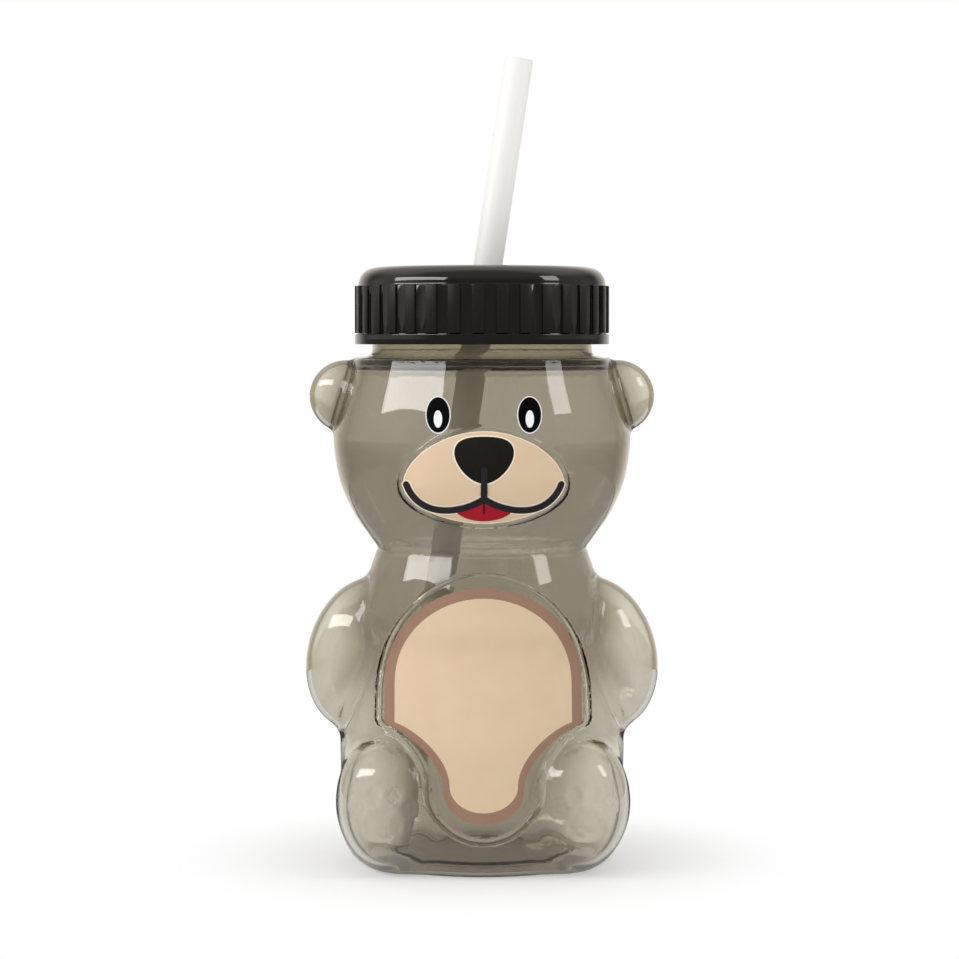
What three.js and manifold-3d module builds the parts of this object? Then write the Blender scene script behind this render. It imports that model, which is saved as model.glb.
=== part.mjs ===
// Bear-shaped drinking bottle: a blow-moulded bottle with a screw cap, a sealing ring and a straw.
// Millimetres, +Z up. The bear faces -Y, and the origin is the middle of the flat base.

import * as THREE from 'three';
import { mergeVertices } from 'three/addons/utils/BufferGeometryUtils.js';
import Module from 'manifold-3d';

const wasm = await Module();
wasm.setup();

// Bottle: wall and base
const WALL = 1.2;
const BASE_FLAT_RADIUS = 26.5;
const HEEL_HEIGHT = 10;

// Bottle: stations of the round torso as (radius, height), from the hips up to the chin crease
const HIP = [35.2, 21.5];
const HIP_TOP = [34.4, 33];
const WAIST = [31.7, 44];
const BREAST = [29.3, 55];
const CHEST = [28.3, 67];
const COLLAR = [27.8, 75.4];
const CHIN = [26.5, 78.2];

// Bottle: stations of the round head, from the chin crease up to the shoulder under the neck
const JAW = [28.6, 81.6];
const LOWER_CHEEK = [32.2, 87];
const UPPER_CHEEK = [35.5, 94.7];
const CHEEK = [37.1, 104];
const TEMPLE = [34.7, 114.5];
const CROWN = [32.2, 123.2];
const SHOULDER_CORNER = 2;

// Bottle: neck, a 58 mm wide-mouth jar finish with the thread left off
const NECK_RADIUS = 27.4;
const NECK_FOOT_Z = 125.9;
const NECK_TOP_Z = 144.6;

// Round forms blown out of the body, as centres and half sizes on the bear's left side
const EAR = { centre: [34.1, 1, 115.75], half: [9, 6, 9], lean: 0 };
const ARM = { centre: [30, 0, 51.4], half: [13.7, 12, 19.3], lean: -0.26 };
const FOOT = { centre: [22.9, -24, 18], half: [12.3, 15, 15.5], lean: 0 };
const MUZZLE = { centre: [0, -24, 96.2], half: [21, 15.8, 12.4], lean: 0 };

// Belly: a shallow recess, and inside it a coloured patch with a border
const RECESS_DEPTH = 0.9;
const RECESS = { top: 74, halfWidth: 26.2, widestZ: 46.5, cornerZ: 36.5, cornerX: 24.6,
  waistX: 12.3, waistZ: 20, bottom: 9.6, bulge: 0.45 };
const BORDER = { top: 70.5, halfWidth: 23.4, widestZ: 46.5, cornerZ: 37, cornerX: 23.4,
  waistX: 9.4, waistZ: 21.5, bottom: 14.2, bulge: 0.45 };
const PATCH = { top: 68, halfWidth: 21.2, widestZ: 46.5, cornerZ: 37.4, cornerX: 21.2,
  waistX: 8.2, waistZ: 22.5, bottom: 16.8, bulge: 0.45 };

// Printed layers: each is a thin skin that follows the bottle with a small gap
const PRINT_GAP = 0.12;
const PRINT_THICKNESS = 0.2;
const PRINT_SEAM = 0.3;

// Face: eyes, muzzle patch, nose, mouth and tongue, drawn in front view
const EYE = { x: 10.9, z: 111.9, halfWidth: 2.8, halfHeight: 4.2 };
const GLINT = { x: 10.9, z: 110.9, halfWidth: 1, halfHeight: 2.1 };
const MUZZLE_PRINT = { halfWidth: 19.1, cornerZ: 95, top: 107.9, bottom: 86.1 };
const NOSE = { halfWidth: 7, widestZ: 103, top: 106.8, bottom: 95.7 };
const MOUTH = { stroke: 1.65, endX: 18.4, endZ: 95.2, lowX: 9.6, lowZ: 89.2, peakZ: 92.3 };
const TONGUE = { halfWidth: 6, cornerZ: 88.2, top: 91, bottom: 86.7 };

// Cap: ribbed skirt, plain lower band and a rounded top with a hole for the straw
const CAP_BOTTOM_Z = 128.7;
const CAP_TOP_Z = 148;
const CAP_RADIUS = 31.75;
const RIB_COUNT = 34;
const RIB_HEIGHT = 0.7;
const RIB_BOTTOM_Z = 131.2;
const RIB_TOP_Z = 143.2;
const CAP_TOP_CORNER = 4.6;
const CAP_BORE_RADIUS = 28.5;
const CAP_CEILING_Z = 146.2;
const STRAW_HOLE_RADIUS = 5.75;

// Sealing ring between the bottle's rim and the cap's ceiling
const FIT_GAP = 0.3;
const SEAL_INNER_RADIUS = 25.6;
const SEAL_OUTER_RADIUS = 28;

// Straw: stands on the bottle's floor and leans in the cap's hole
const STRAW_RADIUS = 3.6;
const STRAW_BORE_RADIUS = 2.8;
const STRAW_FOOT = [-20.5, 0, 2.6];
const STRAW_TOP = [9.2, 0, 199.7];

// Facets: the outside is finer than the cavity, whose flats only make the wall a little thicker
const OUTSIDE = { body: 36, profile: 2, bulge: [18, 12] };
const INSIDE = { body: 22, profile: 1, bulge: [12, 8] };
const OUTLINE_DIVISIONS = 6;
const CAP_SEGMENTS = 2 * RIB_COUNT;
const SEAL_SEGMENTS = 32;
const FRONT_REACH = 60;

// Turn a closed geometry into a solid that can be joined and cut.
function toSolid(geometry) {
  geometry.deleteAttribute('normal');
  geometry.deleteAttribute('uv');
  const merged = mergeVertices(geometry, 1e-4);
  const triangles = [];
  for (let i = 0; i < merged.index.count; i += 3) {
    const corners = [0, 1, 2].map((k) => merged.index.getX(i + k));
    if (new Set(corners).size === 3) {
      triangles.push(...corners);
    }
  }
  const vertProperties = new Float32Array(merged.attributes.position.array);
  const triVerts = new Uint32Array(triangles);
  return new wasm.Manifold(new wasm.Mesh({ numProp: 3, vertProperties, triVerts }));
}

// Turn a solid back into a geometry for a mesh.
function toGeometry(solid) {
  const { vertProperties, triVerts } = solid.getMesh();
  const geometry = new THREE.BufferGeometry();
  geometry.setAttribute('position', new THREE.BufferAttribute(vertProperties, 3));
  geometry.setIndex(new THREE.BufferAttribute(triVerts, 1));
  geometry.computeVertexNormals();
  return geometry;
}

// Revolve a profile of (radius, height) points about the Z axis.
function revolve(points, segments) {
  return new THREE.LatheGeometry(points, segments).rotateX(Math.PI / 2);
}

// Push a front-view outline of (x, z) points through the front half of the bottle.
function frontPrism(shape) {
  const settings = { depth: FRONT_REACH, bevelEnabled: false, curveSegments: OUTLINE_DIVISIONS };
  return toSolid(new THREE.ExtrudeGeometry(shape, settings).rotateX(Math.PI / 2));
}

// Move every point of a profile outwards by a distance, with mitred corners.
// The first and last points stay on the axis.
function offsetProfile(points, distance) {
  const normals = [];
  for (let i = 1; i < points.length; i += 1) {
    const along = points[i].clone().sub(points[i - 1]).normalize();
    normals.push(new THREE.Vector2(along.y, -along.x));
  }
  return points.map((point, i) => {
    const before = normals[Math.max(i - 1, 0)];
    const after = normals[Math.min(i, normals.length - 1)];
    const mitre = before.clone().add(after).divideScalar(1 + before.dot(after));
    const moved = point.clone().addScaledVector(mitre, distance);
    const onAxis = i === 0 || i === points.length - 1;
    return onAxis ? new THREE.Vector2(0, moved.y) : moved;
  });
}

// Half outline of hips, torso, head and neck, from the base to the rim.
function bodyProfile(rimZ, divisions) {
  const [hipRadius] = HIP;
  const [crownRadius, crownZ] = CROWN;
  const points = (stations) => stations.map((station) => new THREE.Vector2(...station));
  const profile = new THREE.Path();
  profile.moveTo(0, 0);
  profile.lineTo(BASE_FLAT_RADIUS, 0);
  profile.absellipse(BASE_FLAT_RADIUS, HEEL_HEIGHT, hipRadius - BASE_FLAT_RADIUS, HEEL_HEIGHT,
    -Math.PI / 2, 0);
  profile.splineThru(points([HIP, HIP_TOP, WAIST, BREAST, CHEST, COLLAR, CHIN]));
  profile.splineThru(points([JAW, LOWER_CHEEK, UPPER_CHEEK, CHEEK, TEMPLE, CROWN]));
  profile.absarc(crownRadius - SHOULDER_CORNER, crownZ, SHOULDER_CORNER, 0, Math.PI / 2);
  profile.lineTo(NECK_RADIUS, NECK_FOOT_Z);
  profile.lineTo(NECK_RADIUS, rimZ);
  profile.lineTo(0, rimZ);
  return profile.getPoints(divisions);
}

// A blown-out round form on one side of the bear, grown by a distance.
function bulge({ centre, half, lean }, side, grow, segments) {
  const sphere = new THREE.SphereGeometry(1, ...segments);
  sphere.scale(half[0] + grow, half[1] + grow, half[2] + grow);
  sphere.rotateY(side * lean);
  sphere.translate(side * centre[0], centre[1], centre[2]);
  return toSolid(sphere);
}

// The whole bear as one solid, with every surface moved outwards by a distance.
function bearForm(grow, facets = OUTSIDE, rimZ = NECK_TOP_Z) {
  const profile = offsetProfile(bodyProfile(rimZ, facets.profile), grow);
  let form = toSolid(revolve(profile, facets.body)).add(bulge(MUZZLE, 1, grow, facets.bulge));
  for (const side of [-1, 1]) {
    for (const limb of [EAR, ARM, FOOT]) {
      form = form.add(bulge(limb, side, grow, facets.bulge));
    }
  }
  return form;
}

// Close a right-hand half outline with its mirror image.
function mirrored(half) {
  const right = half.getPoints(OUTLINE_DIVISIONS);
  const left = right.map((p) => new THREE.Vector2(-p.x, p.y)).reverse();
  return new THREE.Shape([...right, ...left.filter((p) => p.x < 0)]);
}

// Belly outline: a round top, sides that come down to a corner, an inward sweep
// round each foot, and a round lobe between the feet. It can be grown all round.
function bellyOutline(belly, grow = 0) {
  const { widestZ, cornerX, cornerZ, waistX, waistZ, bulge: sweep } = belly;
  const halfWidth = belly.halfWidth + grow;
  const reach = cornerX + grow - waistX;
  const drop = cornerZ - grow - waistZ;
  const half = new THREE.Path();
  half.moveTo(0, belly.top + grow);
  half.absellipse(0, widestZ, halfWidth, belly.top + grow - widestZ, Math.PI / 2, 0, true);
  half.lineTo(cornerX + grow, cornerZ - grow);
  half.bezierCurveTo(
    cornerX + grow - reach * sweep, cornerZ - grow - drop * 0.1,
    waistX + grow, waistZ + drop * sweep,
    waistX + grow, waistZ,
  );
  half.absellipse(0, waistZ, waistX + grow, waistZ - belly.bottom + grow, 0, -Math.PI / 2, true);
  return mirrored(half);
}

// The bear with its belly recess, moved outwards by a distance. The recess floor keeps
// the same wall, so the cavity's outline is wider by the wall's thickness.
function recessedBear(grow, facets, rimZ) {
  const outline = frontPrism(bellyOutline(RECESS, -grow));
  const skin = outline.subtract(bearForm(grow - RECESS_DEPTH, facets, rimZ));
  return bearForm(grow, facets, rimZ).subtract(skin);
}

// Bottle: an even wall round an open cavity.
function bottleShell() {
  const cavity = recessedBear(-WALL, INSIDE, NECK_TOP_Z + 2 * WALL);
  return recessedBear(0, OUTSIDE).subtract(cavity);
}

// A thin layer of the bear's surface, lifted off it by a distance.
function skinLayer(lift) {
  return bearForm(lift + PRINT_THICKNESS).subtract(bearForm(lift));
}

// Ellipse in front view, for the eyes and their glints.
function ellipseOutline({ x, z, halfWidth, halfHeight }, side) {
  const shape = new THREE.Shape();
  shape.absellipse(side * x, z, halfWidth, halfHeight, 0, 2 * Math.PI);
  return shape;
}

// Muzzle patch: two shallow arches that meet in soft corners.
function muzzleOutline() {
  const { halfWidth, cornerZ, top, bottom } = MUZZLE_PRINT;
  const half = new THREE.Path();
  half.moveTo(0, top);
  half.bezierCurveTo(0.5 * halfWidth, top, halfWidth, cornerZ + 5, halfWidth, cornerZ);
  half.bezierCurveTo(halfWidth, cornerZ - 4.5, 0.5 * halfWidth, bottom, 0, bottom);
  return mirrored(half);
}

// Nose: a rounded triangle with its point down.
function noseOutline() {
  const { halfWidth, widestZ, top, bottom } = NOSE;
  const half = new THREE.Path();
  half.moveTo(0, top);
  half.bezierCurveTo(0.6 * halfWidth, top, halfWidth, top - 0.8, halfWidth, widestZ);
  half.bezierCurveTo(halfWidth, widestZ - 3, 0.45 * halfWidth, bottom, 0, bottom);
  return mirrored(half);
}

// A band of even width along a curve, with square ends.
function strokeOutline(curve, width) {
  const stations = Array.from({ length: 2 * OUTLINE_DIVISIONS + 1 }, (_, i) => i / (2 * OUTLINE_DIVISIONS));
  const edge = (side) => stations.map((u) => {
    const along = curve.getTangentAt(u);
    const across = new THREE.Vector2(-along.y, along.x);
    return curve.getPointAt(u).addScaledVector(across, side * width / 2);
  });
  return new THREE.Shape([...edge(-1), ...edge(1).reverse()]);
}

// One cheek of the smile, from the peak under the nose out to its end.
function smileCurve(side, peakZ = MOUTH.peakZ) {
  return new THREE.CubicBezierCurve(
    new THREE.Vector2(0, peakZ),
    new THREE.Vector2(side * 0.42 * MOUTH.lowX, MOUTH.lowZ),
    new THREE.Vector2(side * 1.55 * MOUTH.lowX, MOUTH.lowZ - 2.8),
    new THREE.Vector2(side * MOUTH.endX, MOUTH.endZ),
  );
}

// Mouth: both cheeks of the smile and the line up to the nose.
function mouthPrism(width) {
  const noseLine = new THREE.LineCurve(
    new THREE.Vector2(0, MOUTH.peakZ - width / 2),
    new THREE.Vector2(0, NOSE.bottom - PRINT_SEAM),
  );
  const cheeks = [-1, 1].map((side) => frontPrism(strokeOutline(smileCurve(side), width)));
  return frontPrism(strokeOutline(noseLine, width)).add(cheeks[0]).add(cheeks[1]);
}

// Tongue: hangs below the middle of the smile.
function tongueOutline() {
  const { halfWidth, cornerZ, top, bottom } = TONGUE;
  const half = new THREE.Path();
  half.moveTo(0, top);
  half.lineTo(halfWidth, cornerZ);
  half.quadraticCurveTo(0.6 * halfWidth, bottom, 0, bottom);
  return mirrored(half);
}

// Cap: the body is revolved, and the ribs are one toothed ring joined to it.
function cap() {
  const valleyRadius = CAP_RADIUS - RIB_HEIGHT;
  const bandChamfer = 0.5;
  const profile = new THREE.Path();
  profile.moveTo(CAP_BORE_RADIUS, CAP_BOTTOM_Z);
  profile.lineTo(CAP_RADIUS - bandChamfer, CAP_BOTTOM_Z);
  profile.lineTo(CAP_RADIUS, CAP_BOTTOM_Z + bandChamfer);
  profile.lineTo(CAP_RADIUS, RIB_BOTTOM_Z);
  profile.lineTo(valleyRadius, RIB_BOTTOM_Z);
  profile.lineTo(valleyRadius, CAP_TOP_Z - CAP_TOP_CORNER);
  profile.absarc(valleyRadius - CAP_TOP_CORNER, CAP_TOP_Z - CAP_TOP_CORNER, CAP_TOP_CORNER,
    0, Math.PI / 2);
  profile.lineTo(STRAW_HOLE_RADIUS, CAP_TOP_Z);
  profile.lineTo(STRAW_HOLE_RADIUS, CAP_CEILING_Z);
  profile.lineTo(CAP_BORE_RADIUS, CAP_CEILING_Z);
  profile.lineTo(CAP_BORE_RADIUS, CAP_BOTTOM_Z);
  const body = toSolid(revolve(profile.getPoints(2), CAP_SEGMENTS));
  return body.add(ribRing());
}

// Ring of ribs, each as wide as the gap beside it, rooted inside the cap's wall.
function ribRing() {
  const rootRadius = CAP_RADIUS - 2 * RIB_HEIGHT;
  const innerRadius = (rootRadius + CAP_BORE_RADIUS) / 2;
  const pitch = 2 * Math.PI / RIB_COUNT;
  const at = (radius, angle) => new THREE.Vector2(radius * Math.cos(angle), radius * Math.sin(angle));
  const outline = [];
  for (let i = 0; i < RIB_COUNT; i += 1) {
    const start = (i - 0.25) * pitch;
    const end = (i + 0.25) * pitch;
    outline.push(at(rootRadius, start), at(CAP_RADIUS, start), at(CAP_RADIUS, end), at(rootRadius, end));
  }
  const ring = new THREE.Shape(outline);
  const inner = new THREE.Path();
  inner.absarc(0, 0, innerRadius, 0, 2 * Math.PI);
  ring.holes.push(inner);
  const settings = { depth: RIB_TOP_Z - RIB_BOTTOM_Z + FIT_GAP, bevelEnabled: false, curveSegments: 17 };
  const geometry = new THREE.ExtrudeGeometry(ring, settings);
  return toSolid(geometry.translate(0, 0, RIB_BOTTOM_Z - FIT_GAP));
}

// Sealing ring: a flat washer that lies on the rim under the cap's ceiling.
function capSeal() {
  const bottom = NECK_TOP_Z + FIT_GAP;
  const top = CAP_CEILING_Z - FIT_GAP;
  return revolve([
    new THREE.Vector2(SEAL_INNER_RADIUS, bottom),
    new THREE.Vector2(SEAL_OUTER_RADIUS, bottom),
    new THREE.Vector2(SEAL_OUTER_RADIUS, top),
    new THREE.Vector2(SEAL_INNER_RADIUS, top),
    new THREE.Vector2(SEAL_INNER_RADIUS, bottom),
  ], SEAL_SEGMENTS);
}

// Straw: a straight tube, open at both ends.
function strawTube(length) {
  const ring = new THREE.Shape();
  ring.absarc(0, 0, STRAW_RADIUS, 0, 2 * Math.PI);
  const bore = new THREE.Path();
  bore.absarc(0, 0, STRAW_BORE_RADIUS, 0, 2 * Math.PI);
  ring.holes.push(bore);
  return new THREE.ExtrudeGeometry(ring, { depth: length, bevelEnabled: false, curveSegments: 8 });
}

// Finishes
const finish = (color, roughness, more = {}) =>
  new THREE.MeshStandardMaterial({ color, roughness, metalness: 0, ...more });
const SMOKE_CLEAR = { transparent: true, opacity: 0.6 };
const INK_ROUGHNESS = 0.45;

const bottle = new THREE.Group();

function addPart(name, geometry, material) {
  const mesh = new THREE.Mesh(geometry, material);
  mesh.name = name;
  bottle.add(mesh);
  return mesh;
}

// Bottle and its closure
addPart('bottle_shell', toGeometry(bottleShell()), finish(0xa9a393, 0.08, SMOKE_CLEAR));
addPart('screw_cap', toGeometry(cap()), finish(0x1a1b1c, 0.35));
addPart('cap_seal', capSeal(), finish(0xd8d6d0, 0.6));

const strawFoot = new THREE.Vector3(...STRAW_FOOT);
const strawAxis = new THREE.Vector3(...STRAW_TOP).sub(strawFoot);
const straw = addPart('straw', strawTube(strawAxis.length()), finish(0xf4f4f2, 0.4));
straw.position.copy(strawFoot);
straw.rotation.y = Math.atan2(strawAxis.x, strawAxis.z);

// Belly print, on the floor of the recess
const bellyLayer = skinLayer(PRINT_GAP - RECESS_DEPTH);
const borderRing = frontPrism(bellyOutline(BORDER)).subtract(frontPrism(bellyOutline(PATCH, PRINT_SEAM)));
addPart('belly_border', toGeometry(bellyLayer.intersect(borderRing)), finish(0x9d7d6a, INK_ROUGHNESS));
addPart('belly_patch', toGeometry(bellyLayer.intersect(frontPrism(bellyOutline(PATCH)))),
  finish(0xdcc3a6, INK_ROUGHNESS));

// Face print: a lower layer for the patch and eyes, an upper layer for what lies on them
const lowerLayer = skinLayer(PRINT_GAP);
const upperLayer = skinLayer(2 * PRINT_GAP + PRINT_THICKNESS);
const smile = mouthPrism(MOUTH.stroke);
const smileWithSeam = mouthPrism(MOUTH.stroke + 2 * PRINT_SEAM);
const tongue = frontPrism(tongueOutline()).subtract(smileWithSeam);
addPart('muzzle_patch', toGeometry(lowerLayer.intersect(frontPrism(muzzleOutline()))),
  finish(0xdcc3a6, INK_ROUGHNESS));
addPart('nose', toGeometry(upperLayer.intersect(frontPrism(noseOutline()))), finish(0x1e1c18, INK_ROUGHNESS));
addPart('mouth', toGeometry(upperLayer.intersect(smile)), finish(0x2b2629, INK_ROUGHNESS));
addPart('tongue', toGeometry(upperLayer.intersect(tongue)), finish(0xa81f2d, INK_ROUGHNESS));
for (const [name, side] of [['right', -1], ['left', 1]]) {
  const eye = lowerLayer.intersect(frontPrism(ellipseOutline(EYE, side)));
  const glint = upperLayer.intersect(frontPrism(ellipseOutline(GLINT, side)));
  addPart(`eye_${name}`, toGeometry(eye), finish(0x0c0d0e, INK_ROUGHNESS));
  addPart(`eye_glint_${name}`, toGeometry(glint), finish(0xf0f2f3, INK_ROUGHNESS));
}

export default bottle;
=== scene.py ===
# %% [markdown]
# # A bear-shaped drinking bottle
# The object is a clear smoke bottle, blown into the shape of a sitting bear, with a face and a belly
# patch printed on it, a black screw cap and a white straw. The CAD model already has every size and
# joint, so this lesson loads it as a fixed frame and builds the looks around it, piece by piece.

# %% Load the frame
import math

import bmesh
import bpy
import numpy as np
from mathutils import Matrix, Quaternion, Vector
from mathutils.bvhtree import BVHTree
from mathutils.geometry import interpolate_bezier


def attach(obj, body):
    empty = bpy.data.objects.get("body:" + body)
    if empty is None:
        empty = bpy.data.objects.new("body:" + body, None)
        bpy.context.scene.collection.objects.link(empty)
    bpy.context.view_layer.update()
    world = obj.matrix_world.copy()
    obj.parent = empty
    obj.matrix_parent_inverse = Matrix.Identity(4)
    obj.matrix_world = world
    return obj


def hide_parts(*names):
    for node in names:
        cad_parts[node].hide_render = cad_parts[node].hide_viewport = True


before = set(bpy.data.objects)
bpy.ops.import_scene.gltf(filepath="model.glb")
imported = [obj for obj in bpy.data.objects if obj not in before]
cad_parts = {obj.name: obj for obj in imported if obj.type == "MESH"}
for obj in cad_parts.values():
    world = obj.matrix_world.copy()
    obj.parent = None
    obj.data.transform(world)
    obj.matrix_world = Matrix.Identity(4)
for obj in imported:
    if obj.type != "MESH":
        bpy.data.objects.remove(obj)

scene = bpy.context.scene
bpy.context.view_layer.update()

# %% [markdown]
# ## The camera
# The photograph was taken with a long lens, a little above the middle of the bottle. The bottle was
# turned a touch to the right, so the camera stands a touch to the left. A long lens far away keeps the
# base and the cap nearly the same size. The sideways shift of the lens could centre the picture too,
# but a small tilt does the same and leaves the other views alone.

# %% Camera
CAMERA_DISTANCE = 0.75
CAMERA_HEIGHT = 0.12975
CAMERA_SIDE = -0.000625
CAMERA_TILT = math.radians(2.66)
BOTTLE_TURN = math.radians(0.7)

lens = bpy.data.cameras.new("long_lens")
lens.sensor_width = 36
lens.lens = 112.6
camera = bpy.data.objects.new("camera", lens)
stand = Matrix.Rotation(-BOTTLE_TURN, 4, "Z")
camera.location = stand @ Vector((CAMERA_SIDE, -CAMERA_DISTANCE, CAMERA_HEIGHT))
camera.rotation_euler = (math.radians(90) - CAMERA_TILT, 0, -BOTTLE_TURN)
scene.collection.objects.link(camera)
scene.camera = camera
print("camera at", [round(value, 4) for value in camera.location])

# %% [markdown]
# ## Colours and nodes
# Every colour below is written as an sRGB hex value, as a painter would read it off a screen. Blender
# mixes light in linear values, so one function turns the hex value into those. A second function adds
# a node to a material, with its settings and its links, which keeps each material short.

# %% Helpers for colours and nodes
MM = 0.001


def linear(hex_colour):
    """sRGB hex colour as linear red, green, blue and full alpha."""
    parts = [int(hex_colour[i:i + 2], 16) / 255 for i in (1, 3, 5)]
    return [p / 12.92 if p <= 0.04045 else ((p + 0.055) / 1.055) ** 2.4 for p in parts] + [1.0]


def add_node(tree, kind, inputs=None, **settings):
    """Add a node. An input is a plain value, or another node's output to link."""
    node = tree.nodes.new(kind)
    for name, value in settings.items():
        setattr(node, name, value)
    for socket, value in (inputs or {}).items():
        if isinstance(value, bpy.types.NodeSocket):
            tree.links.new(value, node.inputs[socket])
        else:
            node.inputs[socket].default_value = value
    return node


def new_material(name):
    """An empty node material and its shader tree."""
    material = bpy.data.materials.new(name)
    material.use_nodes = True
    material.node_tree.nodes.clear()
    return material, material.node_tree


print("mid grey is", [round(value, 3) for value in linear("#808080")])

# %% [markdown]
# ## The studio
# The photograph has a pure white background with soft light: a wide softbox on the left that shows as
# a pale patch on the bear's forehead, and a narrow one on the right. The world is plain white for the
# camera. A ray that has passed through the bottle sees a white backdrop over a greyer table, and brown
# flags at both sides, which draw the dark lines along a clear bottle's edges. A ray that was mirrored
# inside the wall sees mostly the flags. Rays mirrored on the outside see a dim room, which keeps the
# black cap black: its far wall is white, its side walls are grey, and its ceiling is pale behind the
# bottle only. Rays that light a matt surface see an even fill, inside the bottle too.

# %% World
FILL_LEVEL = 0.84
INSIDE_LEVEL = 1.0
ROOM_LEVEL = 0.16
CEILING_LEVEL = 0.9
FRONT_CEILING_LEVEL = 0.35
FAR_WALL_LEVEL = 1.0
LEFT_WALL_LEVEL = 0.5
RIGHT_WALL_LEVEL = 0.35
TABLE_LEVEL = 0.78
TABLE_GREY = "#E4E2DD"
FLAG_BROWN = "#A0967F"
ROOM_WHITE = "#FFF9EE"
KEPT_WHITE = 0.15

world = bpy.data.worlds.new("white_studio")
world.use_nodes = True
scene.world = world
sky = world.node_tree
sky.nodes.clear()


def ramp(tree, value, start, end, low=0.0, high=1.0):
    """A smooth rise from low to high while a value goes from start to end."""
    return add_node(tree, "ShaderNodeMapRange", {
        "Value": value, "From Min": start, "From Max": end, "To Min": low, "To Max": high},
        interpolation_type="SMOOTHSTEP").outputs["Result"]


def between(tree, share, first, second):
    """A number between two numbers."""
    return add_node(tree, "ShaderNodeMix", {"Factor": share, "A": first, "B": second}).outputs["Result"]


# A Mix node that blends colours has its factor, first and second colour and result at these places.
MIX_FACTOR, MIX_FIRST, MIX_SECOND, MIX_RESULT = 0, 6, 7, 2


def blended(tree, share, first, second):
    """A colour between two colours."""
    return add_node(tree, "ShaderNodeMix", {
        MIX_FACTOR: share, MIX_FIRST: first, MIX_SECOND: second}, data_type="RGBA").outputs[MIX_RESULT]


ray = add_node(sky, "ShaderNodeLightPath").outputs
direction = add_node(sky, "ShaderNodeTexCoord").outputs["Generated"]
heading = add_node(sky, "ShaderNodeSeparateXYZ", {0: direction}).outputs
lengthways = add_node(sky, "ShaderNodeMath", {0: heading["Y"]}, operation="ABSOLUTE").outputs["Value"]
ahead = ramp(sky, lengthways, 0.2, 0.85)
kept = ramp(sky, ray["Glossy Depth"], 0, 1, 1, KEPT_WHITE)
white_share = add_node(sky, "ShaderNodeMath", {0: ahead, 1: kept}, operation="MULTIPLY").outputs["Value"]
behind = blended(sky, ramp(sky, heading["Z"], -0.05, -0.03), linear(TABLE_GREY), linear("#FFFFFF"))
through = blended(sky, white_share, linear(FLAG_BROWN), behind)
ceiling = ramp(sky, heading["Y"], -0.25, 0.15, FRONT_CEILING_LEVEL, CEILING_LEVEL)
room = between(sky, ramp(sky, heading["Z"], 0.3, 0.8), ROOM_LEVEL, ceiling)
above_table = ramp(sky, heading["Z"], -0.02, 0.02)
left = between(sky, above_table, 0, ramp(sky, heading["X"], -0.7, -0.92))
right = between(sky, above_table, 0, ramp(sky, heading["X"], 0.7, 0.92))
room = between(sky, left, room, LEFT_WALL_LEVEL)
room = between(sky, right, room, RIGHT_WALL_LEVEL)
room = between(sky, ramp(sky, heading["Y"], 0.6, 0.95), room, FAR_WALL_LEVEL)
fill = between(sky, ray["Is Transmission Ray"], FILL_LEVEL, INSIDE_LEVEL)
level = between(sky, ray["Is Transmission Ray"], room, 1.0)
level = between(sky, ray["Diffuse Depth"], level, fill)
level = between(sky, ray["Is Camera Ray"], level, 1.0)
seen_through = add_node(sky, "ShaderNodeMath", {
    0: ray["Is Transmission Ray"], 1: ray["Diffuse Depth"]}, operation="GREATER_THAN").outputs["Value"]
colour = blended(sky, ray["Is Glossy Ray"], linear("#FFFFFF"), linear(ROOM_WHITE))
colour = blended(sky, seen_through, colour, through)
backdrop = add_node(sky, "ShaderNodeBackground", {"Color": colour, "Strength": level})
add_node(sky, "ShaderNodeOutputWorld", {"Surface": backdrop.outputs["Background"]})
print("world fill level", FILL_LEVEL)

# %% Softboxes
TARGET = Vector((0, 0, 0.115))
LAMP_DISTANCE = 0.9


def add_softbox(name, azimuth, elevation, roll, width, height, radiance):
    """A rectangular lamp that faces the bear's head. Azimuth 0 is the camera's side."""
    lamp = bpy.data.lights.new(name, "AREA")
    lamp.shape = "RECTANGLE"
    lamp.size = width
    lamp.size_y = height
    lamp.energy = 4 * width * height * radiance
    softbox = bpy.data.objects.new(name, lamp)
    turn, rise = math.radians(azimuth), math.radians(elevation)
    away = Vector((math.sin(turn) * math.cos(rise), -math.cos(turn) * math.cos(rise), math.sin(rise)))
    softbox.location = TARGET + away * LAMP_DISTANCE
    facing = (-away).to_track_quat("-Z", "Y") @ Quaternion((0, 0, 1), math.radians(roll))
    softbox.rotation_euler = facing.to_euler()
    scene.collection.objects.link(softbox)
    print(name, "at", [round(value, 2) for value in softbox.location])


add_softbox("wide_softbox", -65, 29.6, 8.5, 0.84, 0.2, 4.0)
add_softbox("narrow_softbox", 70, 30.5, -8, 0.24, 0.3, 2.9)

# %% [markdown]
# ## The floor
# The floor is plain white paper. Under the bottle it keeps a soft shadow, and further out it fades to
# the same white as the background, so no horizon shows. The paper's own light is only for rays that
# look at the floor, so the bottle isn't lit by it. A ray crosses many clear walls here, so light is
# allowed more bounces than usual.

# %% Floor
FLOOR_RADIUS = 0.4
SHADOW_KEPT = 0.6
SHADOW_FULL, SHADOW_GONE = 0.035, 0.085
MIRRORED_TABLE_LEVEL = 0.12

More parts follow.
